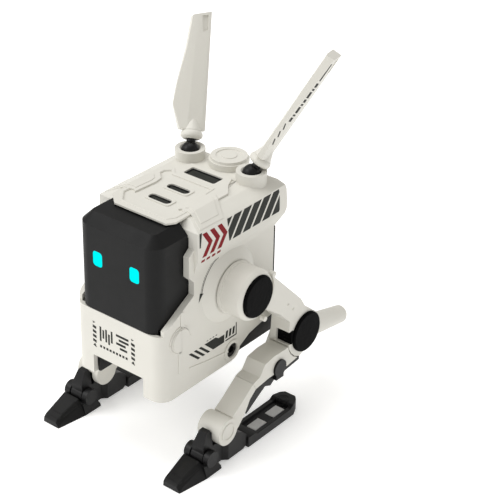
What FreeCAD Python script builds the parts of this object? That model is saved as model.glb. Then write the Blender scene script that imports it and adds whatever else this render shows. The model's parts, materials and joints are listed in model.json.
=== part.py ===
"""Desk charger in the shape of a two-legged robot with ears, as separate pieces.

Frame: +Z up, the face looks along -Y, the robot's left is +X. The origin is on the ground, midway
along the length. Heights are measured from the ground, and lengths along Y from the face of the visor.
"""

import FreeCAD
import Part
import math
import os

import Sketcher
from FreeCAD import Rotation, Vector

DOC = FreeCAD.newDocument("DeskRobotCharger")

# Driving dimensions in millimetres.
DIMENSIONS = {
    "origin_y": 41.6,
    "gap": 0.15,
    "running_gap": 0.05,
    "body_half": 19.5,
    "body_rear": 56.6,
    "body_floor": 27.0,
    "side_wall": 2.3,
    "wall": 1.8,
    "corner_round": 5.0,
    "deck_top": 87.0,
    "shoulder_half": 21.0,
    "shoulder_crest": 84.7,
    "shoulder_rear": 61.4,
    "visor_half": 17.0,
    "visor_base": 52.15,
    "visor_top": 86.5,
    "visor_wall": 1.6,
    "visor_bevel": 3.5,
    "visor_rear": 15.25,
    "eye_x": 7.9,
    "eye_z": 71.7,
    "eye_width": 4.1,
    "eye_height": 5.4,
    "recess_half": 11.0,
    "recess_top": 34.2,
    "recess_depth": 12.0,
    "boss_root": 14.3,
    "boss_crest": 9.7,
    "boss_face": 21.7,
    "cover_top": 87.7,
    "usb_a_y": 43.0,
    "usb_a_width": 13.2,
    "usb_a_depth": 5.2,
    "usb_c_rear_y": 30.5,
    "usb_c_front_y": 21.5,
    "usb_c_width": 8.9,
    "usb_c_depth": 3.2,
    "port_floor": 75.0,
    "hat_y": 56.4,
    "hat_radius": 6.9,
    "hat_base": 87.05,
    "disc_y": 8.5,
    "disc_z": 48.4,
    "disc_radius": 4.3,
    "plug_hole_y": 35.0,
    "plug_hole_z": 31.5,
    "plug_hole_radius": 2.7,
    "hip_y": 32.8,
    "hip_z": 58.3,
    "knee_y": 60.15,
    "knee_z": 31.8,
    "ankle_y": 18.2,
    "ankle_z": 12.6,
    "toe_y": 10.3,
    "toe_z": 6.0,
    "leg_inner": 23.5,
    "leg_outer": 31.4,
    "drum_radius": 8.9,
    "drum_inner": 21.95,
    "drum_outer": 31.6,
    "cap_radius": 7.35,
    "cap_outer": 32.6,
    "shaft_radius": 3.0,
    "knee_pin_radius": 2.0,
    "knee_sweep": 9.6,
    "ankle_radius": 4.8,
    "ankle_pin_radius": 1.4,
    "lug_radius": 3.9,
    "lug_inner": 25.6,
    "lug_outer": 28.6,
    "toe_pin_radius": 1.2,
    "toe_barrel_radius": 2.9,
    "foot_shift": 55.1,
    "trunnion_radius": 1.2,
    "rod_root_radius": 4.3,
    "rod_radius": 3.2,
    "rod_end": 88.6,
    "ear_x": 13.2,
    "ear_y": 51.8,
    "ear_z": 89.6,
    "ear_boss_radius": 5.2,
    "ear_boss_top": 90.5,
    "ear_socket_radius": 3.1,
    "ball_radius": 3.02,
    "stem_radius": 1.55,
    "ear_pivot_radius": 0.6,
    "blade_half_thickness": 1.7,
    "plug_y": 53.6,
    "plug_z": 44.0,
    "blade_gauge": 12.7,
    "blade_width": 6.3,
    "blade_gauge_thickness": 1.5,
}


class Dim:
    """A length held both as a number and as an expression of the sheet's cells."""

    def __init__(self, value, text):
        self.value = float(value)
        self.text = text

    @staticmethod
    def of(other):
        if isinstance(other, Dim):
            return other
        return Dim(other, "%.6f" % other)

    def __add__(self, other):
        other = Dim.of(other)
        return Dim(self.value + other.value, "(%s + %s)" % (self.text, other.text))

    __radd__ = __add__

    def __sub__(self, other):
        other = Dim.of(other)
        return Dim(self.value - other.value, "(%s - %s)" % (self.text, other.text))

    def __rsub__(self, other):
        return Dim.of(other) - self

    def __mul__(self, factor):
        return Dim(self.value * factor, "(%s * %.6f)" % (self.text, factor))

    __rmul__ = __mul__

    def __neg__(self):
        return self * -1.0


class Sizes:
    """The sheet's cells as attributes, each a Dim."""


def make_sheet():
    """Writes the driving dimensions to the sheet and returns them as Dims."""
    sheet = DOC.addObject("Spreadsheet::Sheet", "Sizes")
    sizes = Sizes()
    for row, (alias, value) in enumerate(DIMENSIONS.items(), start=1):
        sheet.set("A%d" % row, alias)
        sheet.set("B%d" % row, str(value))
        sheet.setAlias("B%d" % row, alias)
        setattr(sizes, alias, Dim(value, "Sizes." + alias))
    DOC.recompute()
    return sizes


S = make_sheet()
TURN_TO_AXIS = {
    "x": Rotation(Vector(0, 1, 0), 90),
    "y": Rotation(Vector(1, 0, 0), -90),
    "z": Rotation(),
}
PLANE_ROLES = {"xy": "XY_Plane", "xz": "XZ_Plane", "yz": "YZ_Plane"}
NODES = []


# ---------------------------------------------------------------- building blocks


def bind(obj, prop, value):
    """Binds a property to a number or to an expression of the sheet's cells."""
    obj.setExpression(prop, Dim.of(value).text)


def put(obj, x, y, z):
    """Places an object; Y is given from the visor's face and moved to the frame's origin here."""
    bind(obj, "Placement.Base.x", x)
    bind(obj, "Placement.Base.y", Dim.of(y) - S.origin_y)
    bind(obj, "Placement.Base.z", z)
    return obj


def box(x, y, z):
    """A box between the low and high values of each axis."""
    block = DOC.addObject("Part::Box", "block")
    for prop, (low, high) in zip(("Length", "Width", "Height"), (x, y, z)):
        bind(block, prop, Dim.of(high) - low)
    return put(block, x[0], y[0], z[0])


def rod(axis, radius, span, at):
    """A cylinder along an axis from span[0] to span[1]; at holds its other two coordinates."""
    bar = DOC.addObject("Part::Cylinder", "rod")
    bind(bar, "Radius", radius)
    bind(bar, "Height", Dim.of(span[1]) - span[0])
    bar.Placement = FreeCAD.Placement(Vector(), TURN_TO_AXIS[axis])
    return put(bar, *place_on_axis(axis, span[0], at))


def cone(axis, radii, span, at):
    """A cone frustum along an axis, its radii at the two ends of span."""
    frustum = DOC.addObject("Part::Cone", "frustum")
    bind(frustum, "Radius1", radii[0])
    bind(frustum, "Radius2", radii[1])
    bind(frustum, "Height", Dim.of(span[1]) - span[0])
    frustum.Placement = FreeCAD.Placement(Vector(), TURN_TO_AXIS[axis])
    return put(frustum, *place_on_axis(axis, span[0], at))


def place_on_axis(axis, start, at):
    """The three coordinates of a point at start on an axis that passes through at."""
    if axis == "x":
        return start, at[0], at[1]
    if axis == "y":
        return at[0], start, at[1]
    return at[0], at[1], start


def fuse(*pieces):
    """One solid of several overlapping ones."""
    union = DOC.addObject("Part::MultiFuse", "union")
    union.Shapes = list(pieces)
    union.Refine = True
    return union


def cut(base, *tools):
    """The base less the tools."""
    result = DOC.addObject("Part::Cut", "cut")
    result.Base = base
    result.Tool = tools[0] if len(tools) == 1 else fuse(*tools)
    result.Refine = True
    return result


def common(first, second):
    """What two solids share."""
    shared = DOC.addObject("Part::MultiCommon", "shared")
    shared.Shapes = [first, second]
    shared.Refine = True
    return shared


def group(*pieces):
    """Separate solids that share one node."""
    bundle = DOC.addObject("Part::Compound", "bundle")
    bundle.Links = list(pieces)
    return bundle


def mirrored(piece):
    """The same piece on the other side of the robot's middle plane."""
    twin = DOC.addObject("Part::Mirroring", "mirrored")
    twin.Source = piece
    twin.Normal = Vector(1, 0, 0)
    return twin


def add_outline(sketch, points):
    """Draws a closed outline of straight runs, each corner fixed by two dimensions."""
    corners = [(Dim.of(across), Dim.of(up)) for across, up in points]
    places = [Vector(across.value, up.value, 0) for across, up in corners]
    for index, start in enumerate(places):
        sketch.addGeometry(Part.LineSegment(start, places[(index + 1) % len(places)]), False)
    for index in range(len(places)):
        following = (index + 1) % len(places)
        sketch.addConstraint(Sketcher.Constraint("Coincident", index, 2, following, 1))
    for index, corner in enumerate(corners):
        for kind, value in zip(("DistanceX", "DistanceY"), corner):
            number = sketch.addConstraint(Sketcher.Constraint(kind, -1, 1, index, 1, value.value))
            sketch.setExpression("Constraints[%d]" % number, value.text)


def plate(plane, points, span):
    """A body padded from an outline in a plane, between two places along the axis across it."""
    body = DOC.addObject("PartDesign::Body", "plate")
    origin_plane = next(f for f in body.Origin.OriginFeatures if f.Role == PLANE_ROLES[plane])
    sketch = body.newObject("Sketcher::SketchObject", "outline")
    sketch.AttachmentSupport = [(origin_plane, "")]
    sketch.MapMode = "FlatFace"
    add_outline(sketch, points)
    # The sketch of the XZ plane looks along -Y, so its pad starts at the far end of the span.
    start = -Dim.of(span[1]) if plane == "xz" else span[0]
    bind(sketch, "AttachmentOffset.Base.z", start)
    pad = body.newObject("PartDesign::Pad", "pad")
    pad.Profile = sketch
    bind(pad, "Length", Dim.of(span[1]) - span[0])
    body.Tip = pad
    return put(body, 0, 0, 0)


def loft(sections):
    """A solid skinned with flat faces over outlines that stand across Y, each given as (y, points)."""
    sketches = []
    for y, points in sections:
        sketch = DOC.addObject("Sketcher::SketchObject", "section")
        sketch.Placement = FreeCAD.Placement(Vector(), Rotation(Vector(1, 0, 0), 90))
        add_outline(sketch, points)
        put(sketch, 0.0, y, 0.0)
        sketches.append(sketch)
    skin = DOC.addObject("Part::Loft", "loft")
    skin.Sections = sketches
    skin.Solid = True
    skin.Ruled = True
    return skin


def round_edges(body, radius, wanted):
    """Rounds the edges of a body's last feature whose middle point passes the test."""
    DOC.recompute()
    base = body.Tip
    names = []
    for index, edge in enumerate(base.Shape.Edges, start=1):
        if wanted(edge.CenterOfMass, edge.BoundBox):
            names.append("Edge%d" % index)
    rounding = body.newObject("PartDesign::Fillet", "rounding")
    rounding.Base = (base, names)
    bind(rounding, "Radius", radius)
    body.Tip = rounding
    return body


def bevel_edges(body, size, wanted):
    """Cuts a flat bevel along the edges of a body's last feature whose middle point passes the test."""
    DOC.recompute()
    base = body.Tip
    names = []
    for index, edge in enumerate(base.Shape.Edges, start=1):
        if wanted(edge.CenterOfMass, edge.BoundBox):
            names.append("Edge%d" % index)
    bevel = body.newObject("PartDesign::Chamfer", "bevel")
    bevel.Base = (base, names)
    bind(bevel, "Size", size)
    body.Tip = bevel
    return body


def node(label, piece):
    """Names a finished sub-part and keeps it for export."""
    piece.Label = label
    NODES.append(piece)
    return piece


def node_pair(name, piece):
    """Keeps a left sub-part and its mirror image on the right."""
    node(name + "_left", piece)
    node(name + "_right", mirrored(piece))


def node_copies(name, piece):
    """Keeps a left foot's sub-part and the same part, not mirrored, on the right foot."""
    node(name + "_left", piece)
    twin = DOC.addObject("Part::Compound", "same_hand")
    twin.Links = [piece]
    bind(twin, "Placement.Base.x", -S.foot_shift)
    node(name + "_right", twin)


def both_sides(piece):
    """A piece and its mirror image, for shaping one symmetric sub-part."""
    return piece, mirrored(piece)


# ---------------------------------------------------------------- body


SHELL_SIDE = [
    (0.0, S.body_floor),
    (35.5, S.body_floor),
    (38.2, 30.2),
    (44.5, 33.6),
    (50.5, 34.8),
    (S.body_rear, 35.4),
    (S.body_rear, 84.0),
    (15.4, 84.0),
    (15.4, 78.6),
    (12.9, 76.6),
    (12.9, 69.3),
    (15.4, 66.7),
    (15.4, 61.8),
    (3.3, 54.9),
    (1.85, 54.0),
    (1.85, 52.0),
    (0.0, 52.0),
]
# Upright edges whose middle is nearer to the front plane than this are the rounded front corners.
CORNER_REACH = 0.7


def shell_outside():
    """Side walls, shoulder bands, hip bosses and ear bosses as one solid block."""
    sides = plate("yz", SHELL_SIDE, (-S.body_half, S.body_half))
    round_edges(sides, S.corner_round, lambda mid, box_: mid.y < CORNER_REACH and box_.ZLength > 20)
    crest = plate(
        "xz",
        [
            (-S.body_half, 69.7),
            (S.body_half, 69.7),
            (S.shoulder_half, 74.9),
            (S.shoulder_half, S.shoulder_crest),
            (15.8, S.deck_top),
            (-15.8, S.deck_top),
            (-S.shoulder_half, S.shoulder_crest),
            (-S.shoulder_half, 74.9),
        ],
        (15.4, S.shoulder_rear + 1.0),
    )
    crest_side = plate(
        "yz",
        [
            (15.4, 69.7),
            (15.4, 84.6),
            (18.2, S.deck_top),
            (57.4, S.deck_top),
            (59.6, 86.0),
            (60.9, 83.0),
            (S.shoulder_rear, 79.0),
            (S.shoulder_rear, 75.9),
            (60.7, 73.5),
            (56.6, 70.3),
            (55.6, 69.7),
        ],
        (-S.shoulder_half, S.shoulder_half),
    )
    bosses = []
    for boss in both_sides(cone("x", (S.boss_root, S.boss_crest), (19.0, S.boss_face), (S.hip_y, S.hip_z))):
        bosses.append(boss)
    for boss in both_sides(rod("z", S.ear_boss_radius, (82.0, S.ear_boss_top), (S.ear_x, S.ear_y))):
        bosses.append(boss)
    for ring in both_sides(rod("x", 3.9, (18.0, 19.9), (S.plug_hole_y, S.plug_hole_z))):
        bosses.append(ring)
    return fuse(sides, common(crest, crest_side), *bosses)


def shell_hollows():
    """What is cut out of the shell."""
    inside = S.body_half - S.side_wall
    room = box((-inside, inside), (S.wall, 70.0), (S.body_floor + S.wall, 84.0 - S.wall))
    tools = [
        room,
        box((-13.5, 13.5), (17.5, 56.0), (80.0, S.deck_top - S.wall)),
        box((-10.1, 10.1), (14.0, 47.6), (80.0, 90.0)),
        box((-S.recess_half, S.recess_half), (-1.0, S.recess_depth), (20.0, S.recess_top)),
    ]
    tools += both_sides(rod("x", S.disc_radius + 0.05, (18.9, 21.0), (S.disc_y, S.disc_z)))
    tools += both_sides(rod("x", S.plug_hole_radius, (15.0, 21.0), (S.plug_hole_y, S.plug_hole_z)))
    tools += both_sides(rod("x", S.shaft_radius, (10.0, 25.0), (S.hip_y, S.hip_z)))
    tools += both_sides(rod("z", S.ear_socket_radius, (S.ear_z - 4.2, 95.0), (S.ear_x, S.ear_y)))
    mouth = (S.ear_socket_radius, S.ear_socket_radius + 0.5)
    tools += both_sides(cone("z", mouth, (S.ear_boss_top - 0.6, S.ear_boss_top), (S.ear_x, S.ear_y)))
    tools += both_sides(ear_pivot(S.ear_pivot_radius + S.running_gap, 3.75))
    return tools


def ear_pivot(radius, reach):
    """A rod along X through the left ear's ball, on which the ear tilts."""
    return rod("x", radius, (S.ear_x - reach, S.ear_x + reach), (S.ear_y, S.ear_z))


def screw_posts():
    """Four posts inside the shell that take the rear panel's screws."""
    posts = []
    for height in (39.0, 68.0):
        post = box((13.2, 17.4), (49.0, 55.4), (height - 2.0, height + 2.0))
        bore = rod("y", 0.8, (48.0, 56.0), (15.2, height))
        posts += both_sides(cut(post, bore))
    return posts


def make_shell():
    hollowed = cut(shell_outside(), *shell_hollows())
    node("main_shell", fuse(hollowed, *screw_posts()))


def make_recess_liner():
    """Black tray that lines the recess under the front panel, open to the front and below."""
    half = S.recess_half - S.gap
    outer = box((-half, half), (S.wall + 0.1, S.recess_depth - S.gap), (S.body_floor, S.recess_top - S.gap))
    hollow = box((-half + 1.0, half - 1.0), (0.0, S.recess_depth - 1.2), (20.0, S.recess_top - 1.2))
    node("front_recess_liner", cut(outer, hollow))


def make_base():
    """Black lower rear part under the shell's slanted edge."""
    outline = [
        (36.4, 28.7),
        (56.9, 28.7),
        (57.6, 29.6),
        (57.6, 35.2),
        (50.5, 34.6),
        (44.6, 33.4),
        (38.5, 30.05),
    ]
    body = plate("yz", outline, (-18.9, 18.9))
    tray = box((-16.9, 16.9), (39.6, 55.6), (30.4, 40.0))
    rings = both_sides(rod("x", 4.0, (15.0, 20.0), (S.plug_hole_y, S.plug_hole_z)))
    node("rear_base", cut(body, tray, *rings))


def make_side_trim():
    disc = rod("x", S.disc_radius, (18.95, 20.1), (S.disc_y, S.disc_z))
    node("side_discs", group(*both_sides(disc)))
    plug = rod("x", S.plug_hole_radius - 0.02, (16.6, 19.2), (S.plug_hole_y, S.plug_hole_z))
    dimple = rod("x", 1.3, (18.0, 20.0), (S.plug_hole_y, S.plug_hole_z))
    node("side_plugs", group(*both_sides(cut(plug, dimple))))


def make_visor():
    """Hollow face shell: rounded upright corners and one bevel round the front and sides of its top."""
    half = S.visor_half
    inner = half - S.visor_wall
    plan = [(-half, 0.0), (half, 0.0), (half, S.visor_rear), (-half, S.visor_rear)]
    front = plate("xy", plan, (S.visor_base, S.visor_top))
    round_edges(front, S.corner_round, lambda mid, box_: mid.y < CORNER_REACH and box_.ZLength > 20)
    rear = S.visor_rear.value - 0.1
    top = S.visor_top.value - 0.01
    bevel_edges(front, S.visor_bevel, lambda mid, box_: box_.ZMin > top and mid.y < rear)
    skirt = box((-half, half), (12.0, 18.6), (58.0, 81.9))
    room_profile = [
        (S.visor_wall, 53.9),
        (S.visor_wall, 82.2),
        (30.0, 79.5),
        (30.0, 30.0),
        (2.1, 30.0),
        (2.1, 53.9),
    ]
    room = plate("yz", room_profile, (-inner, inner))
    attic = box((-inner + 2.0, inner - 2.0), (4.0, 13.6), (79.0, S.visor_top - S.visor_wall))
    chin_profile = [(2.0, 52.0), (2.0, 53.8), (18.7, 58.0), (18.7, 52.0)]
    chin = plate("yz", chin_profile, (-half - 1.0, half + 1.0))
    windows = []
    for side in (-1.0, 1.0):
        windows.append(eye_block(side, 0.0, -1.0, 3.0))
    node("visor", cut(fuse(front, skirt), room, attic, chin, *windows))
    lights = [eye_block(side, 0.02, 0.12, S.visor_wall + 0.6) for side in (-1.0, 1.0)]
    node("eye_lights", group(*lights))


def eye_block(side, inset, front, rear):
    """A rounded rectangular bar through an eye window."""
    low = S.eye_x * side - S.eye_width * 0.5 + inset
    high = S.eye_x * side + S.eye_width * 0.5 - inset
    bottom = S.eye_z - S.eye_height * 0.5 + inset
    top = S.eye_z + S.eye_height * 0.5 - inset
    bar = plate("xz", [(low, bottom), (high, bottom), (high, top), (low, top)], (front, rear))
    return round_edges(bar, 1.2, lambda mid, box_: box_.YLength > 0.5)


def make_top_cover():
    """Raised deck plate with the socket cut-outs; its front lip lies over the visor."""
    outline = [
        (-9.4, 10.1),
        (12.4, 10.1),
        (14.2, 12.9),
        (14.2, 38.5),
        (10.6, 43.0),
        (8.6, 47.4),
        (-8.6, 47.4),
        (-10.6, 43.0),
        (-14.2, 38.5),
        (-14.2, 14.4),
    ]
    skin = plate("xy", outline, (S.deck_top + 0.02, S.cover_top))
    tongue = box((-9.9, 9.9), (18.4, 47.2), (84.6, S.deck_top + 0.1))
    field = plate(
        "xy",
        [
            (-8.6, 13.4),
            (10.2, 13.4),
            (11.4, 15.4),
            (11.4, 19.6),
            (9.2, 21.0),
            (8.0, 37.0),
            (-8.4, 37.0),
            (-10.4, 39.0),
            (-12.0, 37.4),
            (-12.0, 17.6),
        ],
        (S.cover_top - 0.35, 90.0),
    )
    rims = [
        port_block(S.usb_c_width + 1.6, S.usb_c_depth + 1.6, y, (S.deck_top, S.cover_top))
        for y in (S.usb_c_rear_y, S.usb_c_front_y)
    ]
    mouths = [
        port_block(S.usb_a_width, S.usb_a_depth, S.usb_a_y, (80.0, 90.0), 0.7),
        port_block(S.usb_c_width, S.usb_c_depth, S.usb_c_rear_y, (80.0, 90.0), 1.5),
        port_block(S.usb_c_width, S.usb_c_depth, S.usb_c_front_y, (80.0, 90.0), 1.5),
    ]
    plate_with_field = cut(fuse(skin, tongue), field)
    node("top_cover", cut(fuse(plate_with_field, *rims), *mouths))


def port_block(width, depth, y, span, radius=1.2):
    """A rounded bar standing on the deck, for a socket's rim or mouth."""
    half = Dim.of(width) * 0.5
    reach = Dim.of(depth) * 0.5
    y = Dim.of(y)
    corners = [(-half, y - reach), (half, y - reach), (half, y + reach), (-half, y + reach)]
    bar = plate("xy", corners, span)
    return round_edges(bar, radius, lambda mid, box_: box_.ZLength > 0.3)


def make_sockets():
    """Sheet-metal socket shells with their plastic tongues."""
    top = S.cover_top - 0.5
    shell = cut(
        port_block(S.usb_a_width - 0.06, S.usb_a_depth - 0.06, S.usb_a_y, (S.port_floor, top), 0.65),
        port_block(S.usb_a_width - 0.7, S.usb_a_depth - 0.7, S.usb_a_y, (S.port_floor + 0.6, 95.0), 0.4),
    )
    node("usb_a_shell", shell)
    tongues = [box((-5.7, 5.7), (S.usb_a_y - 0.2, S.usb_a_y + 1.6), (S.port_floor + 0.6, top - 1.0))]
    shells = []
    for y in (S.usb_c_rear_y, S.usb_c_front_y):
        outer = port_block(S.usb_c_width - 0.06, S.usb_c_depth - 0.06, y, (S.port_floor, top), 1.45)
        inner = port_block(S.usb_c_width - 0.6, S.usb_c_depth - 0.6, y, (S.port_floor + 0.6, 95.0), 1.2)
        shells.append(cut(outer, inner))
        tongues.append(box((-3.3, 3.3), (y - 0.35, y + 0.35), (S.port_floor + 0.6, top - 0.9)))
    node("usb_c_shells", group(*shells))
    node("socket_tongues", group(*tongues))


def make_round_cap():
    """Stepped round cap on the rear of the deck."""
    at = (0.0, S.hat_y)
    skirt = rod("z", S.hat_radius, (S.hat_base, S.hat_base + 2.2), at)
    disc = rod("z", S.hat_radius - 0.6, (S.hat_base + 2.0, S.hat_base + 3.2), at)
    dish = rod("z", S.hat_radius - 2.4, (S.hat_base + 2.9, S.hat_base + 4.0), at)
    button = rod("z", 2.6, (S.hat_base + 2.5, S.hat_base + 3.15), at)
    rear_trim = box((-9.0, 9.0), (S.hat_y + 3.2, 70.0), (80.0, S.hat_base + 1.1))
    node("round_cap", cut(fuse(cut(fuse(skirt, disc), dish), button), rear_trim))


def make_rear_panel():
    """Black rear panel with the well of the folding plug behind it."""
    panel = box((-17.05, 17.05), (55.5, 57.6), (35.5, 82.0))
    strips = box((-19.3, 19.3), (56.65, 57.6), (35.5, 69.6))
    well = box((-12.4, 12.4), (49.2, 56.0), (37.0, 63.0))
    rotor_room = box((-9.9, 9.9), (47.0, 60.0), (S.plug_z - 4.6, S.plug_z + 4.6))
    reach = S.blade_width * 0.5 + 0.3
    tools = [rotor_room]
    for side in (-1.0, 1.0):
        middle = S.blade_gauge * (0.5 * side)
        tools.append(box((middle - 1.1, middle + 1.1), (S.plug_y - reach, 60.0), (S.plug_z, S.plug_z + 18.6)))
    tools.append(rod("x", S.trunnion_radius + S.running_gap, (-11.4, 11.4), (S.plug_y, S.plug_z)))
    for height in (39.0, 68.0):
        tools += both_sides(rod("y", 1.0, (50.0, 60.0), (15.2, height)))
        tools += both_sides(rod("y", 1.75, (56.6, 60.0), (15.2, height)))
    node("rear_panel", cut(fuse(panel, strips, well), *tools))


def make_plug():
    """Folding mains plug: a rotor on trunnions with two flat blades, folded up at rest."""
    core = rod("x", 3.9, (-9.6, 9.6), (S.plug_y, S.plug_z))
    trunnions = rod("x", S.trunnion_radius, (-11.2, 11.2), (S.plug_y, S.plug_z))
    half = S.blade_gauge_thickness * 0.5
    reach = S.blade_width * 0.5
    blades = []
    slots = []
    for side in (-1.0, 1.0):
        middle = S.blade_gauge * (0.5 * side)
        span = (middle - half, middle + half)
        rise = (S.plug_z + 1.6, S.plug_z + 18.0)
        blades.append(box(span, (S.plug_y - reach, S.plug_y + reach), rise))
        slots.append(box(span, (S.plug_y - reach, S.plug_y + reach), (S.plug_z + 1.6, S.plug_z + 8.0)))
    node("plug_rotor", cut(fuse(core, trunnions), *slots))
    node("plug_blades", group(*blades))


def make_case_screws():
    """Four identical screws that hold the rear panel."""
    screws = []
    for height in (39.0, 68.0):
        head = rod("y", 1.7, (56.65, 57.5), (15.2, height))
        shank = rod("y", 0.8, (49.5, 56.7), (15.2, height))
        socket = rod("y", 0.7, (57.1, 58.0), (15.2, height))
        screws += both_sides(cut(fuse(head, shank), socket))
    node("case_screws", group(*screws))


def make_electronics():
    """Boards and power parts inside the body."""
    ports = box((-12.0, 12.0), (17.8, 47.8), (73.4, S.port_floor))
    node("port_board", ports)
    main = box((-15.0, 15.0), (46.6, 48.2), (37.0, 72.0))
    node("main_board", main)
    node("display_board", box((-14.0, 14.0), (4.4, 5.6), (60.0, 80.0)))
    core = box((-10.0, 10.0), (30.5, 46.6), (52.0, 68.0))
    winding = rod("z", 7.0, (50.0, 70.0), (0.0, 38.4))
    node("transformer", fuse(core, winding))
    cans = [
        rod("y", 4.8, (26.0, 46.6), (across, 42.5))
        for across in (-10.0, 0.0, 10.0)
    ]
    node("capacitors", group(*cans))


# ---------------------------------------------------------------- legs


HIP = (S.hip_y, S.hip_z)
KNEE = (S.knee_y, S.knee_z)
ANKLE = (S.ankle_y, S.ankle_z)
TOE = (S.toe_y, S.toe_z)


def around(centre, points):
    """Outline points given as offsets from a joint's axis."""
    return [(centre[0] + across, centre[1] + up) for across, up in points]


def make_hip():
    shaft = rod("x", S.shaft_radius - 0.01, (14.8, 30.4), HIP)
    flange = rod("x", 6.0, (15.2, 17.15), HIP)
    node_pair("hip_shaft", fuse(shaft, flange))
    drum = rod("x", S.drum_radius, (S.drum_inner, S.drum_outer - 1.2), HIP)
    rim = cone("x", (S.drum_radius, S.drum_radius - 0.9), (S.drum_outer - 1.2, S.drum_outer), HIP)
    bore = rod("x", S.shaft_radius + S.running_gap, (20.0, 30.6), HIP)
    seat = rod("x", S.cap_radius, (S.drum_outer - 0.6, 34.0), HIP)
    node_pair("hip_drum", cut(fuse(drum, rim), bore, seat))
    disc = rod("x", S.cap_radius - 0.02, (S.drum_outer - 0.6, S.cap_outer - 0.4), HIP)
    crown = cone("x", (S.cap_radius - 0.02, S.cap_radius - 0.5), (S.cap_outer - 0.4, S.cap_outer), HIP)
    node_pair("hip_cap", fuse(disc, crown))


THIGH_SIDE = [
    (S.hip_y + 5.6, S.hip_z + 6.7),
    (S.hip_y + 24.3, S.hip_z - 12.2),
    (S.knee_y - 0.7, S.knee_z + 10.6),
    (S.knee_y + 3.6, S.knee_z + 7.0),
    (S.knee_y + 4.4, S.knee_z - 5.6),
    (S.knee_y - 2.8, S.knee_z - 8.9),
    (S.knee_y - 5.2, S.knee_z - 7.7),
    (S.knee_y - 7.3, S.knee_z - 5.7),
    (S.knee_y - 8.8, S.knee_z - 3.0),
    (S.knee_y - 9.3, S.knee_z),
    (S.knee_y - 8.8, S.knee_z + 7.6),
    (S.hip_y + 13.4, S.hip_z - 13.6),
    (S.hip_y + 4.6, S.hip_z - 7.0),
]


def make_thigh():
    arm = plate("yz", THIGH_SIDE, (S.leg_inner, S.leg_outer))
    knuckle = rod("x", 7.7, (S.leg_inner, S.leg_outer), KNEE)
    drum_room = rod("x", S.drum_radius, (20.0, 34.0), HIP)
    pin_bore = rod("x", S.knee_pin_radius, (20.0, 31.0), KNEE)
    inset_room = box((25.9, 33.0), (48.0, 53.4), (S.knee_z - 1.5, S.knee_z + 3.5))
    node_pair("thigh", cut(fuse(arm, knuckle), drum_room, pin_bore, inset_room))
    inset = box((26.0, S.leg_outer + 0.4), (51.9, 53.35), (S.knee_z - 1.4, S.knee_z + 3.4))
    disc = rod("x", S.cap_radius, (S.leg_outer, S.cap_outer - 0.4), KNEE)
    crown = cone("x", (S.cap_radius, S.cap_radius - 0.5), (S.cap_outer - 0.4, S.cap_outer), KNEE)
    node_pair("knee_cap", fuse(disc, crown, inset))
    pin = rod("x", S.knee_pin_radius - 0.01, (21.4, 30.9), KNEE)
    head = rod("x", 3.2, (21.0, 21.7), KNEE)
    node_pair("knee_pin", fuse(pin, head))


def make_tail_rod():
    """Spur that runs back and slightly down from the knee block."""
    middle = 27.6
    slope = -12.3
    bar = DOC.addObject("Part::Cone", "spur")
    bind(bar, "Radius1", S.rod_root_radius)
    bind(bar, "Radius2", S.rod_radius)
    bind(bar, "Height", S.rod_end - S.knee_y - 2.2)
    tip = DOC.addObject("Part::Cone", "spur_tip")
    bind(tip, "Radius1", S.rod_radius)
    bind(tip, "Radius2", S.rod_radius - 0.8)
    bind(tip, "Height", 1.2)
    direction = Rotation(Vector(1, 0, 0), slope) * TURN_TO_AXIS["y"]
    bar.Placement = FreeCAD.Placement(Vector(), direction)
    tip.Placement = FreeCAD.Placement(Vector(), direction)
    reach = S.rod_end - S.knee_y - 2.2
    run = math.cos(math.radians(slope))
    drop = math.sin(math.radians(slope))
    put(bar, middle, S.knee_y, S.knee_z - 1.2)
    put(tip, middle, S.knee_y + reach * run, S.knee_z - 1.2 + reach * drop)
    room = rod("x", 7.7, (20.0, 34.0), KNEE)
    node_pair("tail_rod", cut(fuse(bar, tip), room))


UPPER_SHIN_SIDE = around(KNEE, [
    (-8.0, -2.2),
    (-16.8, -2.0),
    (-21.8, -2.8),
    (-24.6, -6.6),
    (-28.0, -7.4),
    (-26.6, -10.2),
    (-20.0, -9.4),
    (-9.4, -9.5),
    (-2.0, -8.6),
])
LOWER_SHIN_SIDE = [
    (S.knee_y - 28.1, S.knee_z - 7.45),
    (S.ankle_y + 6.4, S.ankle_z + 6.3),
    (S.ankle_y + 3.0, S.ankle_z + 4.3),
    (S.ankle_y + 3.6, S.ankle_z - 3.0),
    (S.ankle_y + 6.2, S.ankle_z - 1.6),
    (S.ankle_y + 9.8, S.ankle_z + 2.4),
    (S.ankle_y + 12.2, S.ankle_z + 6.5),
    (S.knee_y - 26.7, S.knee_z - 10.25),
]
STRUT_SIDE = [
    (S.knee_y - 1.4, S.knee_z - 9.8),
    (S.knee_y - 9.4, S.knee_z - 9.6),
    (S.knee_y - 20.0, S.knee_z - 9.5),
    (S.knee_y - 26.5, S.knee_z - 10.35),
    (S.ankle_y + 12.4, S.ankle_z + 6.3),
    (S.ankle_y + 10.0, S.ankle_z + 2.2),
    (S.ankle_y + 11.6, S.ankle_z + 0.4),
    (S.ankle_y + 16.8, S.ankle_z + 3.6),
    (S.ankle_y + 21.6, S.ankle_z + 6.4),
    (S.ankle_y + 24.6, S.ankle_z + 5.2),
    (S.ankle_y + 27.4, S.ankle_z + 7.2),
    (S.knee_y - 10.0, S.knee_z - 12.0),
    (S.knee_y - 1.6, S.knee_z - 11.2),
]


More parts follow.
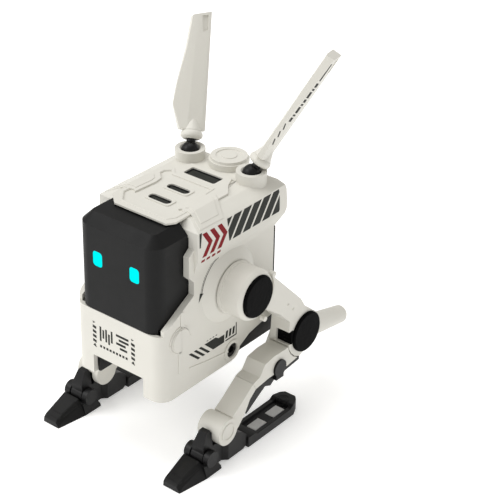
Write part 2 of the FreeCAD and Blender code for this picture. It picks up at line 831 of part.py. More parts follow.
def make_shin():
    guard = plate("yz", UPPER_SHIN_SIDE, (S.leg_inner + 0.1, S.leg_outer))
    sweep = rod("x", S.knee_sweep, (20.0, 34.0), KNEE)
    cheek_outline = around(
        KNEE,
        [(0.0, 6.4), (-5.0, 4.0), (-10.4, -5.0), (-20.0, -5.6), (-20.0, -8.6), (0.0, -6.4)],
    )
    cheek = plate("yz", cheek_outline, (21.95, 23.2))
    knuckle = rod("x", 6.4, (21.95, 23.2), KNEE)
    bridge_outline = around(KNEE, [(-10.4, -5.0), (-20.0, -5.6), (-20.0, -8.6), (-10.4, -8.6)])
    bridge = plate("yz", bridge_outline, (23.1, 24.0))
    bore = rod("x", S.knee_pin_radius + S.running_gap, (20.0, 24.0), KNEE)
    node_pair("shin_upper", cut(fuse(cut(guard, sweep), cheek, knuckle, bridge), bore))
    leg = plate("yz", LOWER_SHIN_SIDE, (S.leg_inner + 0.2, S.leg_outer))
    hub = rod("x", S.ankle_radius, (22.8, 32.1), ANKLE)
    dial = cut(rod("x", 3.3, (32.0, 32.4), ANKLE), rod("x", 2.6, (32.05, 33.0), ANKLE))
    slot = (S.lug_inner - 0.3, S.lug_outer + 0.3)
    lug_room = rod("x", S.lug_radius + 0.3, slot, ANKLE)
    mouth = box(slot, (0.0, S.ankle_y + 5.6), (0.0, S.ankle_z + 1.0))
    pin_bore = rod("x", S.ankle_pin_radius, (23.4, 31.0), ANKLE)
    node_pair("shin_lower", cut(fuse(leg, hub, dial), lug_room, mouth, pin_bore))
    strut = plate("yz", STRUT_SIDE, (24.6, 30.4))
    disc_at = (S.knee_y - 14.2, S.knee_z - 7.8)
    disc = rod("x", 3.1, (S.leg_outer + 0.02, 32.2), disc_at)
    neck = box((30.0, 32.0), (S.knee_y - 16.2, S.knee_y - 12.2), (S.knee_z - 12.0, S.knee_z - 9.5))
    node_pair("shin_strut", fuse(strut, disc, neck))
    pin = rod("x", S.ankle_pin_radius - 0.01, (23.5, 30.9), ANKLE)
    node_pair("ankle_pin", pin)


def make_foot():
    """Bracket between toe and heel. Both feet are one moulding, so only the lug's place differs."""
    block = foot_block()
    near = cut(fuse(block, ankle_lug()), *foot_bores(0.0))
    node("foot_bracket_left", near)
    twin = DOC.addObject("Part::Compound", "same_hand")
    twin.Links = [block]
    bind(twin, "Placement.Base.x", -S.foot_shift)
    far = cut(fuse(twin, mirrored(ankle_lug())), *foot_bores(-S.foot_shift))
    node("foot_bracket_right", far)
    node_copies("toe_pin", rod("x", S.toe_pin_radius, (22.4, 31.8), TOE))


def foot_block():
    """Post in front of the ankle, cradle behind it and the middle of the toe joint's barrel."""
    post_outline = [
        (8.3, 6.0),
        (8.3, 10.4),
        (10.6, 15.0),
        (12.4, 15.2),
        (13.1, 13.6),
        (13.1, 3.0),
        (11.8, 3.0),
    ]
    post_front = [(24.7, 3.0), (29.7, 3.0), (29.7, 9.0), (29.0, 15.2), (25.9, 15.2), (24.7, 9.0)]
    post = common(plate("yz", post_outline, (24.7, 29.7)), plate("xz", post_front, (8.0, 14.0)))
    cradle_outline = [
        (12.5, 1.6),
        (15.0, 0.3),
        (27.4, 0.3),
        (29.2, 1.4),
        (29.2, 5.4),
        (26.4, 7.9),
        (23.4, 8.9),
        (12.5, 8.9),
    ]
    cradle_plan = [
        (24.7, 12.0),
        (29.7, 12.0),
        (29.7, 17.8),
        (31.3, 19.4),
        (31.3, 29.2),
        (23.3, 29.2),
        (23.3, 19.4),
        (24.7, 17.8),
    ]
    cradle = common(plate("yz", cradle_outline, (20.0, 34.0)), plate("xy", cradle_plan, (0.0, 12.0)))
    barrel = rod("x", S.toe_barrel_radius - 0.15, (24.7, 29.7), TOE)
    hub_room = rod("x", S.ankle_radius + 0.3, (19.0, 35.0), ANKLE)
    return cut(fuse(post, cradle, barrel), hub_room)


def ankle_lug():
    """Eye that turns inside the shin's hub, with its web down to the cradle."""
    span = (S.lug_inner, S.lug_outer)
    eye = rod("x", S.lug_radius, span, ANKLE)
    web = box(span, (S.ankle_y - S.lug_radius, S.ankle_y + S.lug_radius), (4.0, S.ankle_z))
    return fuse(eye, web)


def foot_bores(shift):
    """Running bores for the toe pin and the ankle pin of one foot."""
    toe = rod("x", S.toe_pin_radius + S.running_gap, (shift + 20.0, shift + 34.0), TOE)
    ankle = rod("x", S.ankle_pin_radius + S.running_gap, (shift + 20.0, shift + 34.0), ANKLE)
    return toe, ankle


def make_toe():
    """Wedge with a flat top, one long bevel and a sloped flank, and the ends of its joint's barrel."""
    sections = [
        (-4.7, [(23.4, 0.0), (30.5, 0.0), (30.2, 0.7), (29.2, 1.9), (23.6, 1.9)]),
        (-3.6, [(23.2, 0.0), (30.7, 0.0), (30.3, 1.2), (29.0, 2.6), (23.4, 2.6)]),
        (7.2, [(21.9, 0.0), (32.3, 0.0), (30.2, 4.0), (28.9, 5.4), (22.1, 5.4)]),
    ]
    wedge = loft(sections)
    tail = plate(
        "yz",
        [(7.0, 0.0), (7.0, 4.2), (9.0, 4.6), (12.9, 4.4), (14.7, 1.2), (14.7, 0.0)],
        (21.9, 32.3),
    )
    knobs = [
        rod("x", S.toe_barrel_radius, (21.9, 24.3), TOE),
        rod("x", S.toe_barrel_radius, (30.1, 32.2), TOE),
    ]
    flank_cut = plate("xz", [(30.6, 6.0), (32.4, 6.0), (32.4, 0.6), (32.2, 0.6)], (-6.0, 15.0))
    body = fuse(cut(fuse(wedge, tail), flank_cut), *knobs)
    barrel_room = rod("x", S.toe_barrel_radius + 0.15, (24.3, 30.1), TOE)
    rear_room = box((24.3, 30.1), (S.toe_y, 16.0), (-1.0, 12.0))
    bore = rod("x", S.toe_pin_radius, (22.3, 31.9), TOE)
    node_copies("toe_plate", cut(body, barrel_room, rear_room, bore))


def make_heel():
    plan = [
        (22.6, 29.35),
        (32.0, 29.35),
        (32.0, 54.6),
        (30.6, 57.6),
        (28.4, 60.0),
        (25.4, 60.0),
        (23.4, 57.6),
        (22.6, 54.6),
    ]
    sole = plate("xy", plan, (0.0, 4.4))
    side = plate(
        "yz",
        [
            (29.35, 0.0),
            (29.35, 4.2),
            (33.0, 4.2),
            (34.6, 3.4),
            (52.6, 3.4),
            (54.2, 4.4),
            (59.0, 4.4),
            (60.0, 3.4),
            (60.0, 0.9),
            (58.8, 0.0),
        ],
        (20.0, 34.0),
    )
    channel = box((24.4, 30.5), (34.6, 53.6), (2.6, 8.0))
    wells = [
        box((26.0, 30.0), (35.8, 42.0), (1.4, 8.0)),
        box((26.0, 30.0), (45.8, 52.0), (1.4, 8.0)),
    ]
    node_copies("heel_plate", cut(common(sole, side), channel, *wells))
    pads = [
        box((26.05, 29.95), (35.85, 41.95), (1.4, 2.8)),
        box((26.05, 29.95), (45.85, 51.95), (1.4, 2.8)),
    ]
    node_copies("heel_pads", group(*pads))


# ---------------------------------------------------------------- ears


EAR_RISE = Vector(0.315, 0.509, 0.801)
EAR_FACE = Vector(-0.730, -0.409, 0.547)
LEFT_EAR_TILT = 2.0
LEFT_EAR_SPIN = -17.0
BLADE_OUTLINE = [
    (-4.3, 6.9),
    (4.7, 6.5),
    (7.6, 14.6),
    (6.9, 22.2),
    (4.7, 34.8),
    (3.7, 46.0),
    (-2.7, 48.0),
    (-3.5, 30.0),
]


BLADE_SECTION = [
    (-4.6, -0.8),
    (-2.6, -1.7),
    (2.2, -1.7),
    (7.8, -0.45),
    (7.8, 0.45),
    (2.2, 1.7),
    (-2.6, 1.7),
    (-4.6, 0.8),
]


def ear_rotation():
    """Turns a piece that stands on +Z, flat in XZ, to the pose of the left ear when the ears match."""
    rise = Vector(EAR_RISE).normalize()
    face = Vector(EAR_FACE)
    face = (face - rise * face.dot(rise)).normalize()
    across = rise.cross(face)
    matrix = FreeCAD.Matrix()
    matrix.A11, matrix.A21, matrix.A31 = across.x, across.y, across.z
    matrix.A12, matrix.A22, matrix.A32 = -face.x, -face.y, -face.z
    matrix.A13, matrix.A23, matrix.A33 = rise.x, rise.y, rise.z
    return FreeCAD.Placement(matrix).Rotation


def on_ear(piece, tilt=0.0, spin=0.0):
    """Moves a piece modelled at the origin onto the left ear's ball joint, tilted and spun on it."""
    holder = DOC.addObject("Part::Compound", "ear_piece")
    holder.Links = [piece]
    turned = Rotation(Vector(1, 0, 0), tilt) * ear_rotation() * Rotation(Vector(0, 0, 1), spin)
    holder.Placement = FreeCAD.Placement(Vector(), turned)
    return put(holder, S.ear_x, S.ear_y, S.ear_z)


def ear_nodes(name, piece):
    """Keeps an ear's sub-part on both sides; the two ears are posed a little differently."""
    node(name + "_left", on_ear(piece, LEFT_EAR_TILT, LEFT_EAR_SPIN))
    node(name + "_right", mirrored(on_ear(piece)))


def local_rod(radius, span):
    """An upright cylinder at the ear's own origin."""
    bar = DOC.addObject("Part::Cylinder", "ear_rod")
    bind(bar, "Radius", radius)
    bind(bar, "Height", Dim.of(span[1]) - span[0])
    bind(bar, "Placement.Base.z", span[0])
    return bar


def local_cone(radii, span):
    """An upright cone frustum at the ear's own origin."""
    frustum = DOC.addObject("Part::Cone", "ear_cone")
    bind(frustum, "Radius1", radii[0])
    bind(frustum, "Radius2", radii[1])
    bind(frustum, "Height", span[1] - span[0])
    bind(frustum, "Placement.Base.z", span[0])
    return frustum


def make_ear():
    ball = DOC.addObject("Part::Sphere", "ball")
    bind(ball, "Radius", S.ball_radius)
    flare = local_cone((2.7, S.stem_radius), (1.0, 2.7))
    neck = local_rod(S.stem_radius, (0.0, 5.4))
    stem = fuse(ball, flare, neck)
    pivot = ear_pivot(S.ear_pivot_radius, 3.6)
    node("ear_stem_left", fuse(on_ear(stem, LEFT_EAR_TILT, LEFT_EAR_SPIN), pivot))
    node("ear_stem_right", mirrored(fuse(on_ear(stem), ear_pivot(S.ear_pivot_radius, 3.6))))

    bore = local_rod(S.stem_radius + S.running_gap, (3.0, 5.5))
    lower = local_cone((2.7, 3.8), (3.6, 4.4))
    middle = local_rod(3.8, (4.4, 5.6))
    upper = local_cone((3.8, 3.2), (5.6, 6.5))
    ear_nodes("ear_collar", cut(fuse(lower, middle, upper), bore))

    half = S.blade_half_thickness
    slab = plate("xz", BLADE_OUTLINE, (-half, half))
    bind(slab, "Placement.Base.y", 0.0)
    facets = plate("xy", BLADE_SECTION, (6.0, 49.0))
    bind(facets, "Placement.Base.y", 0.0)
    blade = common(slab, facets)
    pockets = []
    for low, high in ((-3.0, 0.55 - half), (half - 0.55, 3.0)):
        pocket = plate("xz", [(-1.9, 41.5), (-0.3, 40.6), (0.5, 46.2), (-1.6, 46.6)], (low, high))
        bind(pocket, "Placement.Base.y", 0.0)
        pockets.append(pocket)
    fairing = local_cone((3.2, 0.6), (6.5, 13.6))
    ear_nodes("ear_blade", fuse(cut(blade, *pockets), fairing))


# ---------------------------------------------------------------- build, check and export


def build():
    make_shell()
    make_recess_liner()
    make_base()
    make_side_trim()
    make_visor()
    make_top_cover()
    make_sockets()
    make_round_cap()
    make_rear_panel()
    make_plug()
    make_case_screws()
    make_electronics()
    make_hip()
    make_thigh()
    make_tail_rod()
    make_shin()
    make_foot()
    make_toe()
    make_heel()
    make_ear()
    DOC.recompute()


def check():
    """Stops the build if any object failed or any sub-part is not a valid solid."""
    for obj in DOC.Objects:
        if "Invalid" in obj.State or "Error" in obj.State:
            raise RuntimeError("%s (%s) failed: %s" % (obj.Name, obj.Label, obj.State))
    for piece in NODES:
        shape = piece.Shape
        if shape.isNull() or not shape.isValid() or not shape.Solids:
            raise RuntimeError("%s has no valid solid" % piece.Label)


def export():
    os.makedirs("parts", exist_ok=True)
    for piece in NODES:
        piece.Shape.exportStep("parts/%s.step" % piece.Label)
        print("%-22s %2d solid(s) %9.1f mm3" % (piece.Label, len(piece.Shape.Solids), piece.Shape.Volume))


build()
check()
export()
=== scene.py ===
"""Looks for the robot-shaped desk charger: materials, softened edges, printed marks and details."""

import json
import math

import bmesh
import bpy
from mathutils import Matrix, Vector
from mathutils.bvhtree import BVHTree


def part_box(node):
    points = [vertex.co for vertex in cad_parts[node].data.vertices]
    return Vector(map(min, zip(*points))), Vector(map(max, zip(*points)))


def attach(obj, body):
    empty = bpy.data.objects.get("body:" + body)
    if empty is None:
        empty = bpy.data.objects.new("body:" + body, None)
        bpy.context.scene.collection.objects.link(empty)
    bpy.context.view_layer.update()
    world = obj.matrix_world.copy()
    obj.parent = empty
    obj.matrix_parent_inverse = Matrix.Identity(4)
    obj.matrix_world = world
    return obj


MM = 0.001
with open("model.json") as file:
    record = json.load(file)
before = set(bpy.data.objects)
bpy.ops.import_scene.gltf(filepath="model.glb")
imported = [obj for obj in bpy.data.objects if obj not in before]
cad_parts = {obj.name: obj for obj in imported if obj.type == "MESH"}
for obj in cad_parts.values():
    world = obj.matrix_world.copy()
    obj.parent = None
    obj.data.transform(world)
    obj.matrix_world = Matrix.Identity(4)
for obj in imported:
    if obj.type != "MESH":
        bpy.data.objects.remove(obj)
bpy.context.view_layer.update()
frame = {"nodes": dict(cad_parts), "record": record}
FRONT = -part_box("visor")[0][1] / MM  # how far the visor's front lies in front of the origin, in mm
WALL = 19.5  # x of the body's flat side wall, in mm
SHOULDER = 21.0  # x of the shoulder band above it, in mm
INK = 0.03  # how far the printed marks stand proud, in mm
SINK = 0.05  # how far flat marks reach into the surface under them, in mm


def link(name, data):
    """A new object of a mesh, camera or light, linked to the scene."""
    made = bpy.data.objects.new(name, data)
    bpy.context.scene.collection.objects.link(made)
    return made


def joint(name):
    """A joint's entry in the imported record."""
    return next(entry for entry in frame["record"]["behaviour"]["joints"] if entry["name"] == name)


def box_mm(node):
    """A node's lowest and highest corners at rest, in mm."""
    return [[value / MM for value in corner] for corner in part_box(node)]


# ---------------------------------------------------------------- camera, floor and light


WORLD_STRENGTH = 0.52
KEY_POWER = 72.0
TOP_POWER = 76.0
CAMERA_PLACE = (302.98, -360.59, 328.83)  # mm
CAMERA_TILT = 60.634  # degrees up from looking straight down
CAMERA_TURN = 40.532  # degrees round from looking along +Y


def make_camera():
    """Camera above the front of the +X side, with no depth of field."""
    data = bpy.data.cameras.new("camera")
    data.sensor_width = 36.0
    data.lens = 115.85
    data.shift_x = 0.1236
    data.shift_y = -0.0197
    data.clip_start = 0.01
    data.clip_end = 20.0
    camera = link("camera", data)
    camera.location = Vector(CAMERA_PLACE) * MM
    camera.rotation_euler = (math.radians(CAMERA_TILT), 0.0, math.radians(CAMERA_TURN))
    bpy.context.scene.camera = camera


def make_floor():
    """A plain pale floor that fades into the pale surroundings."""
    mesh = bpy.data.meshes.new("floor")
    reach = 3.0
    corners = [(-reach, -reach, 0), (reach, -reach, 0), (reach, reach, 0), (-reach, reach, 0)]
    mesh.from_pydata(corners, [], [(0, 1, 2, 3)])
    floor = link("floor", mesh)
    paint = bpy.data.materials.new("floor_paint")
    paint.use_nodes = True
    shader = paint.node_tree.nodes["Principled BSDF"]
    shader.inputs["Base Color"].default_value = (0.96, 0.96, 0.96, 1.0)
    shader.inputs["Roughness"].default_value = 0.95
    shader.inputs["Specular IOR Level"].default_value = 0.05
    shader.inputs["Emission Color"].default_value = (1.0, 1.0, 1.0, 1.0)
    shader.inputs["Emission Strength"].default_value = 0.32
    mesh.materials.append(paint)


def area_light(name, place, target, size, power):
    """A soft square light aimed at a point."""
    data = bpy.data.lights.new(name, "AREA")
    data.shape = "SQUARE"
    data.size = size
    data.energy = power
    lamp = link(name, data)
    lamp.location = place
    lamp.rotation_euler = (Vector(target) - Vector(place)).to_track_quat("-Z", "Y").to_euler()


def make_lights():
    """Soft studio light: a pale surround, a large light from the front left and one from above."""
    world = bpy.data.worlds.new("studio")
    world.use_nodes = True
    surround = world.node_tree.nodes["Background"]
    surround.inputs["Color"].default_value = (1.0, 0.985, 0.95, 1.0)
    surround.inputs["Strength"].default_value = WORLD_STRENGTH
    bpy.context.scene.world = world
    middle = (0.0, 0.0, 0.06)
    area_light("key", (-2.2, -2.6, 2.6), middle, 2.4, KEY_POWER)
    area_light("top", (-0.6, 0.3, 4.2), middle, 3.0, TOP_POWER)
    bpy.context.scene.view_settings.view_transform = "Standard"


# ---------------------------------------------------------------- materials


class Paint:
    """A material being built, with short calls for its nodes."""

    def __init__(self, name):
        self.material = bpy.data.materials.new(name)
        self.material.use_nodes = True
        self.tree = self.material.node_tree
        self.shader = self.tree.nodes["Principled BSDF"]

    def add(self, kind, **values):
        """A node with its input sockets set by name."""
        made = self.tree.nodes.new(kind)
        for socket, value in values.items():
            made.inputs[socket.replace("_", " ")].default_value = value
        return made

    def join(self, source, target):
        """A link from an output socket to an input socket."""
        self.tree.links.new(source, target)

    def noise(self, scale, detail=2.0, roughness=0.5):
        """Noise in the object's own metres."""
        spot = self.add("ShaderNodeTexCoord")
        made = self.add("ShaderNodeTexNoise", Scale=scale, Detail=detail, Roughness=roughness)
        self.join(spot.outputs["Object"], made.inputs["Vector"])
        return made.outputs["Fac"]

    def between(self, amount, low, high):
        """A value of 0 to 1 moved to low to high."""
        made = self.add("ShaderNodeMapRange")
        made.inputs["To Min"].default_value = low
        made.inputs["To Max"].default_value = high
        self.join(amount, made.inputs["Value"])
        return made.outputs["Result"]

    def tint(self, amount, dark, light):
        """A colour between two, by a value."""
        made = self.add("ShaderNodeMix")
        made.data_type = "RGBA"
        made.inputs[6].default_value = (*dark, 1.0)
        made.inputs[7].default_value = (*light, 1.0)
        self.join(amount, made.inputs[0])
        return made.outputs[2]

    def bump(self, height, strength, depth):
        """Fine relief from a value; depth is in metres."""
        made = self.add("ShaderNodeBump", Strength=strength, Distance=depth)
        self.join(height, made.inputs["Height"])
        self.join(made.outputs["Normal"], self.shader.inputs["Normal"])


def moulded_plastic(name, dark, light, roughness, grain=2600.0, depth=0.00003, specular=0.5):
    """Moulded plastic: faint mottling, uneven sheen and a fine spark-eroded texture."""
    paint = Paint(name)
    mottle = paint.noise(90.0, 3.0)
    paint.join(paint.tint(mottle, dark, light), paint.shader.inputs["Base Color"])
    sheen = paint.between(paint.noise(260.0, 4.0), roughness - 0.06, roughness + 0.06)
    paint.join(sheen, paint.shader.inputs["Roughness"])
    paint.shader.inputs["Specular IOR Level"].default_value = specular
    paint.bump(paint.noise(grain, 2.0), 0.35, depth)
    return paint.material


def metal(name, dark, light, roughness, stretch):
    """Metal with fine marks drawn along one axis."""
    paint = Paint(name)
    spot = paint.add("ShaderNodeTexCoord")
    mapping = paint.add("ShaderNodeMapping")
    mapping.inputs["Scale"].default_value = stretch
    marks = paint.add("ShaderNodeTexNoise", Scale=900.0, Detail=3.0)
    paint.join(spot.outputs["Object"], mapping.inputs["Vector"])
    paint.join(mapping.outputs["Vector"], marks.inputs["Vector"])
    paint.join(paint.tint(marks.outputs["Fac"], dark, light), paint.shader.inputs["Base Color"])
    sheen = paint.between(marks.outputs["Fac"], roughness - 0.08, roughness + 0.1)
    paint.join(sheen, paint.shader.inputs["Roughness"])
    paint.shader.inputs["Metallic"].default_value = 1.0
    paint.bump(marks.outputs["Fac"], 0.2, 0.00001)
    return paint.material


def lit_window(name, colour, strength):
    """A lit eye: glowing plastic under a clear skin."""
    paint = Paint(name)
    glow = paint.tint(paint.noise(400.0, 1.0), [c * 0.96 for c in colour], colour)
    paint.join(glow, paint.shader.inputs["Emission Color"])
    paint.shader.inputs["Base Color"].default_value = (0.0, 0.0, 0.0, 1.0)
    paint.shader.inputs["Emission Strength"].default_value = strength
    paint.shader.inputs["Roughness"].default_value = 0.6
    paint.shader.inputs["Specular IOR Level"].default_value = 0.0
    return paint.material


def make_materials():
    """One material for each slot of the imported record."""
    white = ((0.68, 0.665, 0.61), (0.72, 0.705, 0.65))
    black = ((0.003, 0.003, 0.0033), (0.006, 0.006, 0.0064))
    pitted = ((0.0004, 0.0004, 0.0005), (0.0045, 0.0045, 0.0048))
    return {
        "white_plastic": moulded_plastic("white_plastic", *white, 0.46),
        "black_plastic": moulded_plastic("black_plastic", *black, 0.42, specular=0.28),
        "cap_plastic": moulded_plastic("cap_plastic", *pitted, 0.5, 700.0, 0.0002, 0.03),
        "visor_plastic": moulded_plastic(
            "visor_plastic", (0.0068, 0.0069, 0.0072), (0.0084, 0.0085, 0.0088), 0.5, specular=0.18
        ),
        "eye_light": lit_window("eye_light", (0.0, 1.0, 1.0), 1.0),
        "dark_print": moulded_plastic(
            "dark_print", (0.019, 0.0205, 0.0175), (0.025, 0.0265, 0.023), 0.6, specular=0.2
        ),
        "red_print": moulded_plastic(
            "red_print", (0.20, 0.004, 0.009), (0.24, 0.006, 0.012), 0.6, specular=0.15
        ),
        "socket_steel": metal("socket_steel", (0.05, 0.05, 0.055), (0.10, 0.10, 0.105), 0.4, (1, 1, 8)),
        "screw_steel": metal("screw_steel", (0.03, 0.03, 0.03), (0.06, 0.06, 0.06), 0.42, (1, 1, 1)),
        "pin_steel": metal("pin_steel", (0.45, 0.45, 0.46), (0.6, 0.6, 0.6), 0.3, (0.2, 3, 3)),
        "plug_brass": metal("plug_brass", (0.62, 0.6, 0.56), (0.78, 0.76, 0.7), 0.26, (3, 3, 0.2)),
        "circuit_board": moulded_plastic("circuit_board", (0.01, 0.07, 0.03), (0.015, 0.1, 0.04), 0.35),
        "ferrite": moulded_plastic("ferrite", (0.03, 0.03, 0.032), (0.05, 0.05, 0.05), 0.6),
        "capacitor_can": metal("capacitor_can", (0.15, 0.15, 0.2), (0.25, 0.25, 0.3), 0.35, (1, 1, 1)),
        "pad_rubber": moulded_plastic(
            "pad_rubber", (0.58, 0.58, 0.575), (0.66, 0.66, 0.65), 0.6, 3500.0, 0.00005
        ),
    }


# ---------------------------------------------------------------- tools for pieces


def soften(piece, width, angle=28.0, segments=3):
    """Rounds a piece's sharp edges with modifiers and shades it smooth; its own points stay."""
    weld = piece.modifiers.new("weld", "WELD")
    weld.merge_threshold = 0.002 * MM
    flats = piece.modifiers.new("flats", "DECIMATE")
    flats.decimate_type = "DISSOLVE"
    flats.angle_limit = math.radians(0.6)
    bevel = piece.modifiers.new("soft_edges", "BEVEL")
    bevel.width = width * MM
    bevel.segments = segments
    bevel.limit_method = "ANGLE"
    bevel.angle_limit = math.radians(angle)
    bevel.harden_normals = True
    shading = piece.modifiers.new("flat_faces", "WEIGHTED_NORMAL")
    shading.weight = 100
    for polygon in piece.data.polygons:
        polygon.use_smooth = True


def place(x, y, z):
    """A point in metres, from millimetres with y measured back from the visor's front."""
    return Vector((x, y - FRONT, z)) * MM


def side_spot(point):
    """A point in metres as the coordinates of a side sheet."""
    return (point[1] / MM + FRONT, point[2] / MM)


class Sheet:
    """A flat drawing surface on the model, in millimetres."""

    def __init__(self, origin, across, up, out):
        self.origin = Vector(origin)
        self.across = Vector(across).normalized()
        self.up = Vector(up).normalized()
        self.out = Vector(out).normalized()

    def point(self, u, v, lift):
        """The place of the sheet's own coordinates, at a height above it."""
        spot = self.origin + self.across * u + self.up * v + self.out * lift
        return place(*spot)


def side_sheet(x, sign):
    """A sheet parallel to one side of the body: u back from the visor's front, v up."""
    return Sheet((sign * x, 0, 0), (0, 1, 0), (0, 0, 1), (sign, 0, 0))


def finish_piece(name, shape, slot, body):
    """Turns a bmesh into a piece of a body with a slot's material."""
    bmesh.ops.recalc_face_normals(shape, faces=shape.faces)
    mesh = bpy.data.meshes.new(name)
    shape.to_mesh(mesh)
    shape.free()
    mesh.materials.append(MATERIALS[slot])
    piece = link(name, mesh)
    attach(piece, body)
    return piece


def add_slab(shape, sheet, outline, low, high):
    """A closed slab of an outline, standing from low to high over a sheet."""
    floor_ring = [shape.verts.new(sheet.point(u, v, low)) for u, v in outline]
    roof_ring = [shape.verts.new(sheet.point(u, v, high)) for u, v in outline]
    shape.faces.new(floor_ring)
    shape.faces.new(roof_ring)
    for index, corner in enumerate(floor_ring):
        following = (index + 1) % len(outline)
        shape.faces.new((corner, floor_ring[following], roof_ring[following], roof_ring[index]))


def slabs(name, sheet, outlines, low, high, slot, body, edge=0.0):
    """Flat slabs of the given outlines as one piece."""
    shape = bmesh.new()
    for outline in outlines:
        add_slab(shape, sheet, outline, low, high)
    piece = finish_piece(name, shape, slot, body)
    if edge:
        soften(piece, edge)
    return piece


def add_band(shape, sheet, inner, outer, low, high):
    """A closed band between two outlines with as many points, standing from low to high."""
    rings = []
    for outline, lift in ((inner, low), (outer, low), (outer, high), (inner, high)):
        rings.append([shape.verts.new(sheet.point(u, v, lift)) for u, v in outline])
    for index, here in enumerate(rings):
        above = rings[(index + 1) % len(rings)]
        for step in range(len(here)):
            following = (step + 1) % len(here)
            shape.faces.new((here[step], here[following], above[following], above[step]))


def bands(name, sheet, pairs, low, high, slot, body, edge=0.0):
    """Closed bands between pairs of outlines as one piece."""
    shape = bmesh.new()
    for inner, outer in pairs:
        add_band(shape, sheet, inner, outer, low, high)
    piece = finish_piece(name, shape, slot, body)
    if edge:
        soften(piece, edge)
    return piece


def grow(outline, distance):
    """An outline moved outwards all round; its points run anticlockwise."""
    grown = []
    for index, point in enumerate(outline):
        here = Vector(point)
        before = (here - Vector(outline[index - 1])).normalized()
        after = (Vector(outline[(index + 1) % len(outline)]) - here).normalized()
        aside = Vector((before.y, -before.x))
        bend = aside + Vector((after.y, -after.x))
        grown.append(tuple(here + bend * (distance / bend.dot(aside))))
    return grown


def rect(u0, v0, u1, v1):
    """An upright rectangle from two opposite corners."""
    return [(u0, v0), (u1, v0), (u1, v1), (u0, v1)]


def around(centre, radius, angle):
    """The point of a circle at an angle in radians."""
    return (centre[0] + radius * math.cos(angle), centre[1] + radius * math.sin(angle))


def disc(centre, radius, steps=32):
    """A round outline."""
    return [around(centre, radius, 2.0 * math.pi * k / steps) for k in range(steps)]


def ring(centre, inner, outer):
    """The two outlines of a round band."""
    return (disc(centre, inner, 48), disc(centre, outer, 48))


def arc(centre, inner, outer, start, end, steps=24):
    """A band of a ring, from start to end degrees."""
    angles = [math.radians(start + (end - start) * k / steps) for k in range(steps + 1)]
    outside = [around(centre, outer, angle) for angle in angles]
    return outside + [around(centre, inner, angle) for angle in reversed(angles)]


def half_rings(centre, inner, outer, gap, steps=24):
    """A ring as two arcs, with gaps of a few degrees between them."""
    starts = (gap * 0.5, 180.0 + gap * 0.5)
    return [arc(centre, inner, outer, start, start + 180.0 - gap, steps) for start in starts]


def lean(y0, z0, y1, z1, width):
    """A bar of a given width along y, from one height to another."""
    return [(y0, z0), (y0 + width, z0), (y1 + width, z1), (y1, z1)]


def chevron(y, low, high, depth, width):
    """A band of a given width along y, bent into an arrow that points back."""
    middle = (low + high) * 0.5
    front = [(y, low), (y + depth, middle), (y, high)]
    return front + [(across + width, up) for across, up in front[::-1]]


def clip(outline, start, end):
    """The part of an outline to the left of the line from start to end."""
    along = Vector(end) - Vector(start)

    def depth(point):
        away = Vector(point) - Vector(start)
        return along.x * away.y - along.y * away.x

    kept = []
    for index, point in enumerate(outline):
        following = outline[(index + 1) % len(outline)]
        here, there = depth(point), depth(following)
        if here >= 0.0:
            kept.append(point)
        if (here >= 0.0) != (there >= 0.0):
            share = here / (here - there)
            kept.append(tuple(Vector(point).lerp(Vector(following), share)))
    return kept


def surface_of(node):
    """A searchable copy of a CAD node's surface, in world metres."""
    piece = frame["nodes"][node]
    corners = [piece.matrix_world @ vertex.co for vertex in piece.data.vertices]
    return BVHTree.FromPolygons(corners, [tuple(p.vertices) for p in piece.data.polygons])


DROP = 12.0  # how far above a sheet its marks start to fall, in mm
BURIED = 0.06  # how far fallen marks reach into the surface, in mm


def drape(name, surface, sheet, outlines, high, slot, body, grid=1.1):
    """Thin slabs drawn on a sheet and dropped along its normal onto a surface."""
    shape = bmesh.new()
    for outline in outlines:
        shape.faces.new([shape.verts.new(sheet.point(u, v, 0.0)) for u, v in outline])
    corners = [point for outline in outlines for point in outline]
    for axis, direction in enumerate((sheet.across, sheet.up)):
        first = min(point[axis] for point in corners)
        last = max(point[axis] for point in corners)
        for step in range(1, int((last - first) / grid) + 1):
            where = first + step * grid
            spot = sheet.point(where, 0, 0) if axis == 0 else sheet.point(0, where, 0)
            everything = shape.verts[:] + shape.edges[:] + shape.faces[:]
            bmesh.ops.bisect_plane(shape, geom=everything, plane_co=spot, plane_no=direction)
    lower = list(shape.verts)
    grown = bmesh.ops.extrude_face_region(shape, geom=shape.faces[:])
    upper = [item for item in grown["geom"] if isinstance(item, bmesh.types.BMVert)]
    for group, lift in ((lower, -BURIED), (upper, high)):
        for vertex in group:
            hit = surface.ray_cast(vertex.co + sheet.out * DROP * MM, -sheet.out)[0]
            vertex.co = (hit or vertex.co) + sheet.out * lift * MM
    return finish_piece(name, shape, slot, body)


# ---------------------------------------------------------------- carried-over CAD nodes

# How wide the moulded nodes' edges are rounded, in mm.
EDGE_WIDTHS = {
    "main_shell": 0.5,
    "visor": 0.35,
    "top_cover": 0.3,
    "round_cap": 0.3,
    "side_discs": 0.2,
    "rear_base": 0.4,
    "hip_drum": 0.35,
    "hip_cap": 0.25,
    "knee_cap": 0.25,
    "thigh": 0.9,
    "tail_rod": 0.3,
    "shin_upper": 1.1,
    "shin_lower": 0.9,
    "shin_strut": 0.35,
    "foot_bracket": 0.7,
    "toe_plate": 0.3,
    "heel_plate": 0.35,
    "heel_pads": 0.15,
    "ear_collar": 0.25,
    "ear_blade": 0.35,
}


def finish_cad_nodes():
    """Gives each CAD node its slot's material and softens the moulded ones."""
    for entry in frame["record"]["subparts"]:
        piece = frame["nodes"][entry["node"]]
        piece.data.materials.clear()
        piece.data.materials.append(MATERIALS[entry["material_slot"]])
        kind = entry["node"].replace("_left", "").replace("_right", "")
        if kind in EDGE_WIDTHS:
            soften(piece, EDGE_WIDTHS[kind])


